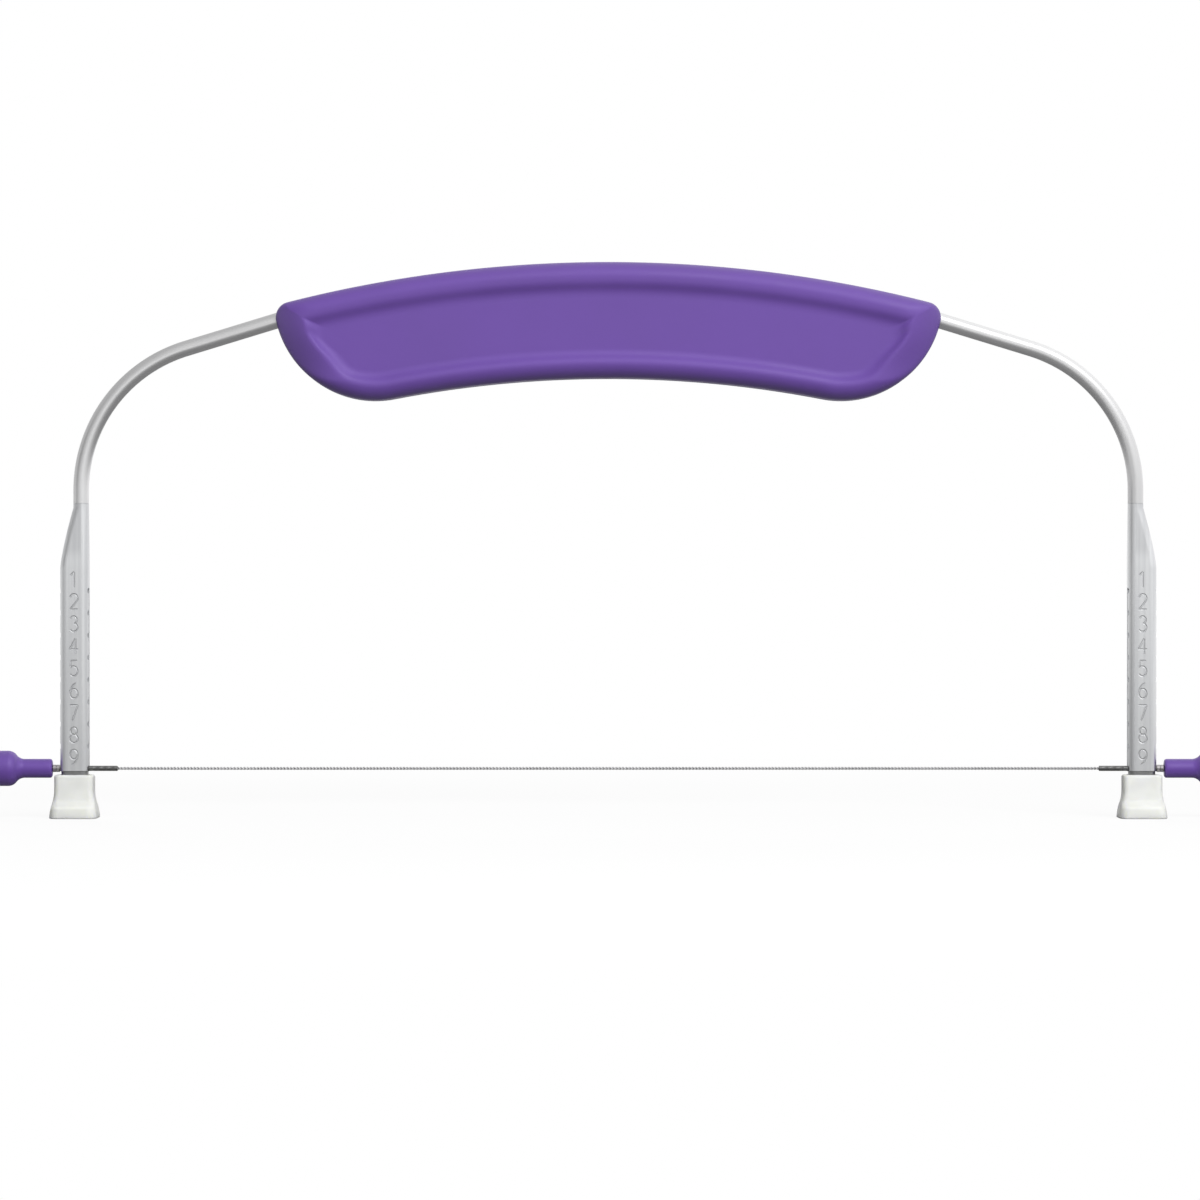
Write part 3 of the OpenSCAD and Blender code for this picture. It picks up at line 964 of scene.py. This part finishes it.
def rear_screw(name, x, z):
    """A pan-head screw in its well: domed head with a cross recess, and a threaded shank."""

    def place(radius, run, angle):
        return (x + radius * math.cos(angle), SCREW_SEAT_Y + run, z + radius * math.sin(angle))

    head = make_object(name, turned(screw_profile(), place, 40))
    crown_y = SCREW_SEAT_Y + SCREW_HEAD_H
    levels = ((1.55, 0.34, 0.2), (1.45, 0.32, 0), (0.5, 0.2, -1.2))
    recess = loft([cross_outline(x, z, reach, half_w, crown_y + rise) for reach, half_w, rise in levels])
    shank = make_object("shank", threaded_shank(x, z))
    cut_away(head, [make_object("recess", recess)])
    join = head.modifiers.new("join", "BOOLEAN")
    join.operation = "UNION"
    join.object = shank
    join.solver = "EXACT"
    keep_result(head)
    bpy.data.objects.remove(shank)
    finish_piece(head, SCREW_STEEL, "handle_screws")


# Legs
# A digit's strokes lie in a box one wide and one high. A line has two ends, an arc or ring has a centre
# and two radii, and an arc has two angles
DIGIT_STROKES = {
    1: [("line", (0.16, 0.78), (0.52, 1)), ("line", (0.52, 1), (0.52, 0))],
    2: [
        ("arc", (0.5, 0.72), 0.4, 0.28, 165, -38),
        ("line", (0.815, 0.548), (0.1, 0)),
        ("line", (0.1, 0), (0.92, 0)),
    ],
    3: [("arc", (0.47, 0.76), 0.36, 0.24, 150, -80), ("arc", (0.47, 0.27), 0.42, 0.27, 80, -150)],
    4: [
        ("line", (0.66, 0), (0.66, 1)),
        ("line", (0.66, 1), (0.05, 0.3)),
        ("line", (0.05, 0.3), (0.95, 0.3)),
    ],
    5: [
        ("line", (0.85, 1), (0.2, 1)),
        ("line", (0.2, 1), (0.14, 0.56)),
        ("arc", (0.46, 0.32), 0.42, 0.32, 140, -145),
    ],
    6: [("ring", (0.5, 0.31), 0.4, 0.31), ("arc", (1.0, 0.31), 0.9, 0.71, 180, 108)],
    7: [("line", (0.08, 1), (0.92, 1)), ("line", (0.92, 1), (0.34, 0))],
    8: [("ring", (0.5, 0.76), 0.33, 0.24), ("ring", (0.5, 0.27), 0.42, 0.27)],
    9: [("ring", (0.5, 0.69), 0.4, 0.31), ("arc", (0.0, 0.69), 0.9, 0.71, 0, -72)],
}


def stroke_points(stroke):
    """Points of one stroke in the digit's own unit box."""
    kind = stroke[0]
    if kind == "line":
        return list(stroke[1:])
    (centre_x, centre_z), wide, tall = stroke[1:4]
    start, stop = stroke[4:] if kind == "arc" else (0, 360)
    steps = 28 if kind == "ring" else 16
    unit = arc((0, 0), 1, start, stop, steps)
    points = [(centre_x + wide * x, centre_z + tall * z) for x, z in unit]
    return points[:-1] if kind == "ring" else points


def stamp_tool(stroke, x, z):
    """Round-nosed tool that presses one stroke into the leg's face, with its lower left at x, z."""
    y = LEG_FRONT_Y - STAMP_LIFT
    path = [(x + px * DIGIT_W, y, z + pz * DIGIT_H) for px, pz in stroke_points(stroke)]
    return make_object("stamp", tube(path, STAMP_R, 14, looped=stroke[0] == "ring"))


def leg_outline(side, inset=0):
    return round_rect(
        side * LEG_X, LEG_W - 2 * inset, LEG_FRONT_Y + inset, LEG_BACK_Y - inset, LEG_CORNER_R, LEG_LIP_R
    )


def leg_block(side):
    """Outside of a leg: a channel's outline that narrows into the rod's round neck."""
    levels = (
        (LEG_BOTTOM_Z, 0.1),
        (LEG_BOTTOM_Z + 0.1, 0),
        (SEAM_LOW_Z - 0.05, 0),
        (SEAM_LOW_Z, SEAM_DEPTH),
        (SEAM_HIGH_Z, SEAM_DEPTH),
        (SEAM_HIGH_Z + 0.15, 0),
        (LEG_FULL_Z, 0),
    )
    rings = [at_height(leg_outline(side, inset), z) for z, inset in levels]
    neck = round_ring(side * UPRIGHT_X, ROD_R)
    for u in between(0, 1, 18)[1:]:
        z = LEG_FULL_Z + (NECK_START_Z - LEG_FULL_Z) * u
        rings.append(at_height(mixed(leg_outline(side), neck, u**NECK_EASE), z))
    rings.append(at_height(neck, LEG_NECK_Z - 0.08))
    rings.append(at_height(round_ring(side * UPRIGHT_X, ROD_R - 0.08), LEG_NECK_Z))
    return loft(rings)


def leg_hollow(side):
    """Inside of the channel, open at the back, with a scooped top end."""
    front = LEG_FRONT_Y + LEG_WALL
    back = LEG_BACK_Y + PAST
    inner_r = LEG_CORNER_R - LEG_WALL
    levels = [(LEG_BOTTOM_Z - PAST, front)]
    for a in between(0, math.pi / 2, 8):
        z = HOLLOW_TOP_Z - HOLLOW_SCOOP * (1 - math.sin(a))
        levels.append((z, front + HOLLOW_SCOOP_Y * (1 - math.cos(a))))
    rings = []
    for z, start in levels:
        r = min(inner_r, (back - start) / 2 - 0.05)
        outline = round_rect(side * LEG_X, LEG_W - 2 * LEG_WALL, start, back, r, 0.02)
        rings.append(at_height(outline, z))
    return loft(rings)


def ladder_slot(side):
    """The upright lane and its forward notches, through both flanges."""
    tops = [WIRE_Z + i * NOTCH_PITCH for i in range(NOTCH_COUNT)]
    edge = []
    for z in tops:
        if z > tops[0]:
            edge.append((-LANE_R, z - LANE_R))
        edge += arc((-NOTCH_REACH, z), LANE_R, 270, 90, 12)
        if z < tops[-1]:
            edge.append((-LANE_R, z + LANE_R))
    edge += arc((0, tops[-1]), LANE_R, 90, 0, 6)
    edge += arc((0, tops[0]), LANE_R, 0, -90, 6)
    start = side * LEG_X - LEG_W / 2 - PAST
    return extruded([(start, y, z) for y, z in edge], (LEG_W + 2 * PAST, 0, 0))


def make_leg(name, side):
    """A leg with its hollow back, ladder slot, bore for the rod's end and stamped digits."""
    leg = make_object(name, leg_block(side))
    bore = round_ring(side * UPRIGHT_X, SPIGOT_R)
    bore_ends = (SPIGOT_BOTTOM_Z - 0.3, LEG_NECK_Z + PAST)
    cutters = [
        make_object("hollow", leg_hollow(side)),
        make_object("ladder", ladder_slot(side)),
        make_object("bore", loft([at_height(bore, z) for z in bore_ends])),
    ]
    for digit, strokes in DIGIT_STROKES.items():
        notch = NOTCH_COUNT - digit
        low_z = WIRE_Z + notch * NOTCH_PITCH + DIGIT_RISE - DIGIT_H / 2
        for stroke in strokes:
            cutters.append(stamp_tool(stroke, side * LEG_X - DIGIT_W / 2, low_z))
    cut_away(leg, cutters)
    finish_piece(leg, LEG_STEEL, name)


# Feet
def make_foot(name, side):
    """A flared shoe with a socket for the leg."""
    x = side * LEG_X

    def level(z, width, depth, corner_r, inset=0):
        half = depth / 2 - inset
        return at_height(round_rect(x, width - 2 * inset, -half, half, corner_r, corner_r), z)

    def flared(z, inset=0):
        wide = ease((FRONT_FLARE_TOP_Z - z) / (FRONT_FLARE_TOP_Z + 0.4))
        deep = ease((FLARE_TOP_Z - z) / (FLARE_TOP_Z - FOOT_BASE_H))
        return level(
            z,
            FOOT_W + (FOOT_BASE_W - FOOT_W) * wide,
            FOOT_DEPTH + (FOOT_BASE_DEPTH - FOOT_DEPTH) * deep,
            FOOT_CORNER_R + (FOOT_BASE_CORNER_R - FOOT_CORNER_R) * deep,
            inset,
        )

    rings = []
    for a in between(math.pi / 2, 0, 4):
        rings.append(flared(FOOT_SOLE_R * (1 - math.sin(a)), FOOT_SOLE_R * (1 - math.cos(a))))
    for z in between(FOOT_BASE_H - 1.6, FRONT_FLARE_TOP_Z, 22):
        rings.append(flared(z))
    for a in between(0, math.pi / 2, 6):
        z = FOOT_H - FOOT_EDGE_R * (1 - math.sin(a))
        rings.append(level(z, FOOT_W, FOOT_DEPTH, FOOT_CORNER_R, FOOT_EDGE_R * (1 - math.cos(a))))
    rings.append(at_height(leg_outline(side, -SOCKET_GAP - SOCKET_CHAMFER), FOOT_H))
    for z in (FOOT_H - SOCKET_CHAMFER, LEG_BOTTOM_Z):
        rings.append(at_height(leg_outline(side, -SOCKET_GAP), z))
    foot = make_object(name, loft(rings))
    finish_piece(foot, FOOT_MILKY, name)


# Wire and its ends
def wire_shape():
    """Two strands laid round each other."""
    steps = round(2 * WIRE_HALF / WIRE_LAY * STEPS_PER_LAY)
    climb = math.atan2(2 * math.pi * STRAND_R, WIRE_LAY)
    shape = Shape()
    for strand in (0, math.pi):
        rings = []
        for x in between(-WIRE_HALF, WIRE_HALF, steps):
            turn = strand + 2 * math.pi * x / WIRE_LAY
            ring = []
            for a in all_round(STRAND_SIDES):
                out = STRAND_R * (1 + math.cos(a))
                skew = STRAND_R * math.sin(a)
                around = skew * math.cos(climb)
                y = out * math.cos(turn) - around * math.sin(turn)
                z = out * math.sin(turn) + around * math.cos(turn)
                ring.append((x - skew * math.sin(climb), y, WIRE_Z + z))
            rings.append(ring)
        laid = shape.lay(rings)
        shape.cap(laid[0])
        shape.cap(laid[-1])
    return shape


def sleeve_shape(side):
    """Tube crimped on the wire's end, with a head that holds the knob."""
    start = sleeve_low.x
    length = sleeve_high.x - start
    place_round = along_wire(side, start)

    def place(radius, run, angle):
        dent = sum(max(0, 1 - ((run - c) / CRIMP_HALF) ** 2) for c in CRIMP_RUNS)
        face = abs(math.sin(angle)) ** 3
        if radius > SLEEVE_R - 0.1:
            radius -= CRIMP_DENT * dent * face
        return place_round(radius, run, angle)

    bore_r = 2 * STRAND_R
    profile = [(0, CRIMP_DEPTH), (bore_r, CRIMP_DEPTH), (bore_r, 0.1), (bore_r + 0.08, 0)]
    profile += [(SLEEVE_R - 0.1, 0), (SLEEVE_R, 0.1)]
    profile += [(SLEEVE_R, run) for run in between(0.3, 8, 44)]
    neck = length - SLEEVE_HEAD_LEN
    profile += [(SLEEVE_R, neck), (SLEEVE_HEAD_R - 0.1, neck), (SLEEVE_HEAD_R, neck + 0.1)]
    profile += [(SLEEVE_HEAD_R, length - 0.3), (SLEEVE_HEAD_R - 0.3, length), (0, length)]
    return turned(profile, place, 32)


def collar_shape(side):
    """Short ring that bears on the leg, with chamfered ends and a fine groove."""
    length = collar_high.x - collar_low.x
    middle = length / 2
    chamfer = 0.18
    groove = 0.1
    near = [(SLEEVE_R, 0), (COLLAR_R - chamfer, 0), (COLLAR_R, chamfer), (COLLAR_R, middle - groove)]
    far = [(radius, length - run) for radius, run in reversed(near)]
    profile = near + [(COLLAR_R - groove, middle)] + far
    return turned(profile, along_wire(side, collar_low.x), 40, looped=True)


def knob_shape(side):
    """Straight neck, S-shaped shoulder and a long bulb, with room for the sleeve and its head."""
    rise = KNOB_BULB_R - KNOB_NECK_R
    sweep = math.degrees(math.acos(1 - rise / (2 * KNOB_SHOULDER_R)))
    reach = KNOB_SHOULDER_R * math.sin(math.radians(sweep))
    crown_start = NECK_LEN + 2 * reach
    end_start = KNOB_LEN - BULB_END_R
    bore_r = SLEEVE_R + TURN_GAP
    cavity_r = SLEEVE_HEAD_R + TURN_GAP
    head_room = (KNOB_BORE_LEN - TURN_GAP, KNOB_BORE_LEN + SLEEVE_HEAD_LEN + TURN_GAP)
    profile = [(0, head_room[1]), (cavity_r, head_room[1]), (cavity_r, head_room[0])]
    profile += [(bore_r, head_room[0]), (bore_r, 0.15), (bore_r + 0.15, 0)]
    profile += arc((KNOB_NECK_R - NECK_EDGE_R, NECK_EDGE_R), NECK_EDGE_R, -90, 0, 8)
    profile += [(KNOB_NECK_R, run) for run in between(NECK_EDGE_R, NECK_LEN, 6)[1:-1]]
    profile += arc((KNOB_NECK_R + KNOB_SHOULDER_R, NECK_LEN), KNOB_SHOULDER_R, 180, 180 - sweep, 12)
    profile += arc((KNOB_BULB_R - KNOB_SHOULDER_R, crown_start), KNOB_SHOULDER_R, -sweep, 0, 12)[1:]
    profile += arc((KNOB_BULB_R - BULB_END_R, end_start), BULB_END_R, 0, 90, 16)[1:]
    profile += [(0, KNOB_LEN)]
    return turned(profile, along_wire(side, knob_low.x))


# Stage
def make_floor():
    """Pale floor that looks white and keeps the leveler's soft shadow."""
    square = Shape()
    corners = ((-1, -1), (1, -1), (1, 1), (-1, 1))
    square.cap(square.ring([(x * FLOOR_HALF, y * FLOOR_HALF, -FLOOR_DROP) for x, y in corners]))
    floor = make_object("floor", square)
    material, tree = new_material("pale_floor")
    light = put(tree, "ShaderNodeLightPath").outputs
    seen = work_out(tree, "MAXIMUM", light["Is Camera Ray"], light["Is Transmission Ray"])
    far = work_out_way(tree, "LENGTH", own_place(tree))["Value"]
    white_share = times(tree, seen, remap(tree, far, 0.25, 0.7, 0.89, 1))
    mirrored = times(tree, light["Is Glossy Ray"], remap(tree, far, 0.15, 0.8, 0.05, 1))
    white_share = work_out(tree, "MAXIMUM", white_share, mirrored)
    pale = blend_colour(tree, seen, (0.27, 0.27, 0.27, 1), (0.95, 0.95, 0.95, 1))
    plain = put(tree, "ShaderNodeBsdfDiffuse", {"Color": pale})
    white = put(tree, "ShaderNodeEmission", {"Color": (1, 1, 1, 1), "Strength": 1.0})
    mix = put(tree, "ShaderNodeMixShader", {0: white_share, 1: plain.outputs[0], 2: white.outputs[0]})
    put(tree, "ShaderNodeOutputMaterial", {"Surface": mix.outputs[0]})
    floor.data.materials.append(material)


def make_world():
    """White background, soft light from all round, and the studio that steel and plastic mirror.

    The studio is white behind the leveler and dimmer towards the left and the floor. In front it has a
    dark upright card on the left and a bright soft box up on the right.
    """
    world = bpy.data.worlds.new("studio")
    bpy.context.scene.world = world
    tree = empty_tree(world)
    way = put(tree, "ShaderNodeTexCoord").outputs["Generated"]
    x, y, z = split_place(tree, way)
    side = remap(tree, x, -0.7, 0.5, 0.62, 1.0)
    low = remap(tree, z, -0.45, 0.05, 0.35, 1.1)
    level_way = work_out_way(tree, "MULTIPLY", way, (1, 1, 0.4))[0]
    level_way = work_out_way(tree, "NORMALIZE", level_way)[0]
    card_turn = math.radians(62)
    card_way = (-math.sin(card_turn), -math.cos(card_turn), 0)
    facing_card = work_out_way(tree, "DOT_PRODUCT", level_way, card_way)["Value"]
    card = remap(tree, facing_card, 0.92, 0.985, 1.0, 0.35)
    front = times(tree, times(tree, side, low), card)
    facing_box = work_out_way(tree, "DOT_PRODUCT", way, (0.35, -0.68, 0.64))["Value"]
    soft_box = remap(tree, facing_box, 0.9, 0.98, 0.0, 1.4)
    above = work_out(tree, "ADD", remap(tree, x, -0.4, 0.4, 0.62, 1.2), soft_box)
    high = remap(tree, z, 0.2, 0.55)
    upper = times(tree, above, high)
    lower = times(tree, front, work_out(tree, "SUBTRACT", 1.0, high))
    behind = times(tree, remap(tree, y, 0.5, 0.8), remap(tree, z, 0.3, 0.6, 1.0, 0.0))
    studio = work_out(tree, "MAXIMUM", work_out(tree, "ADD", upper, lower), behind)
    light = put(tree, "ShaderNodeLightPath").outputs
    mirrored = work_out(tree, "MAXIMUM", light["Is Glossy Ray"], light["Is Transmission Ray"])
    soft_light = remap(tree, x, -1, 1, SOFT_LIGHT - SOFT_LIGHT_GAIN, SOFT_LIGHT + SOFT_LIGHT_GAIN)
    strength = work_out(tree, "MAXIMUM", times(tree, studio, mirrored), soft_light)
    strength = work_out(tree, "MAXIMUM", strength, light["Is Camera Ray"])
    backdrop = put(tree, "ShaderNodeBackground", {"Color": (1, 1, 1, 1), "Strength": strength})
    put(tree, "ShaderNodeOutputWorld", {"Surface": backdrop.outputs[0]})


def make_lamp(name, place, level):
    """A round soft lamp that lights a white surface facing it at its target to the given level."""
    lamp = bpy.data.lights.new(name, "AREA")
    lamp.shape = "DISK"
    lamp.size = LAMP_SIZE
    lamp.energy = level * (math.pi * math.dist(place, LAMP_TARGET)) ** 2
    thing = add_object(name, lamp)
    thing.location = place
    thing.visible_camera = False
    thing.visible_glossy = False
    way = [t - p for t, p in zip(LAMP_TARGET, place)]
    flat = math.hypot(way[0], way[1])
    thing.rotation_euler = (math.atan2(flat, -way[2]), 0, math.atan2(way[1], way[0]) - math.pi / 2)


def make_camera():
    """The photograph's level view from the front."""
    camera = bpy.data.cameras.new("camera")
    camera.sensor_width = 36
    camera.lens = camera.sensor_width * CAMERA_DISTANCE / (PHOTO_PX * MM_PER_PX)
    camera.clip_start = 0.05
    thing = add_object("camera", camera)
    x = (PHOTO_PX / 2 - MIDDLE_PX_X) * MM_PER_PX
    z = (TABLE_PX_Y - PHOTO_PX / 2) * MM_PER_PX
    thing.location = (x * MM, -CAMERA_DISTANCE * MM, z * MM)
    thing.rotation_euler = (math.pi / 2, 0, 0)
    bpy.context.scene.camera = thing


bpy.context.scene.view_settings.view_transform = "Standard"
make_camera()
make_floor()
make_world()
make_lamp("key_light", (0.46, -1.46, 0.96), 1.04)
make_lamp("back_light", (-0.3, 1.5, 0.9), 0.45)

# The leveler, piece by piece
bow = make_object("bent_rod", bow_shape())
finish_piece(bow, ROD_STEEL, "bow", flats=False)
handle_shell("handle_front_shell", -1)
handle_shell("handle_rear_shell", 1)
for side, word in ((-1, "left"), (1, "right")):
    for number, (x, z) in enumerate(SCREW_SPOTS, start=1):
        rear_screw(f"{word}_rear_screw_{number}", side * x, z)
    make_leg(f"{word}_leg", side)
    make_foot(f"{word}_foot", side)
    sleeve = make_object(f"{word}_wire_sleeve", sleeve_shape(side))
    finish_piece(sleeve, SLEEVE_STEEL, f"{word}_wire_sleeve", "wire_unit", flats=False)
    collar = make_object(f"{word}_stop_collar", collar_shape(side))
    finish_piece(collar, COLLAR_STEEL, f"{word}_stop_collar", "wire_unit")
    knob = make_object(f"{word}_knob", knob_shape(side))
    finish_piece(knob, KNOB_PURPLE, f"{word}_knob", f"{word}_knob_body", flats=False)
wire = make_object("twisted_wire", wire_shape())
finish_piece(wire, WIRE_STEEL, "cutting_wire", "wire_unit", crease=60, flats=False)
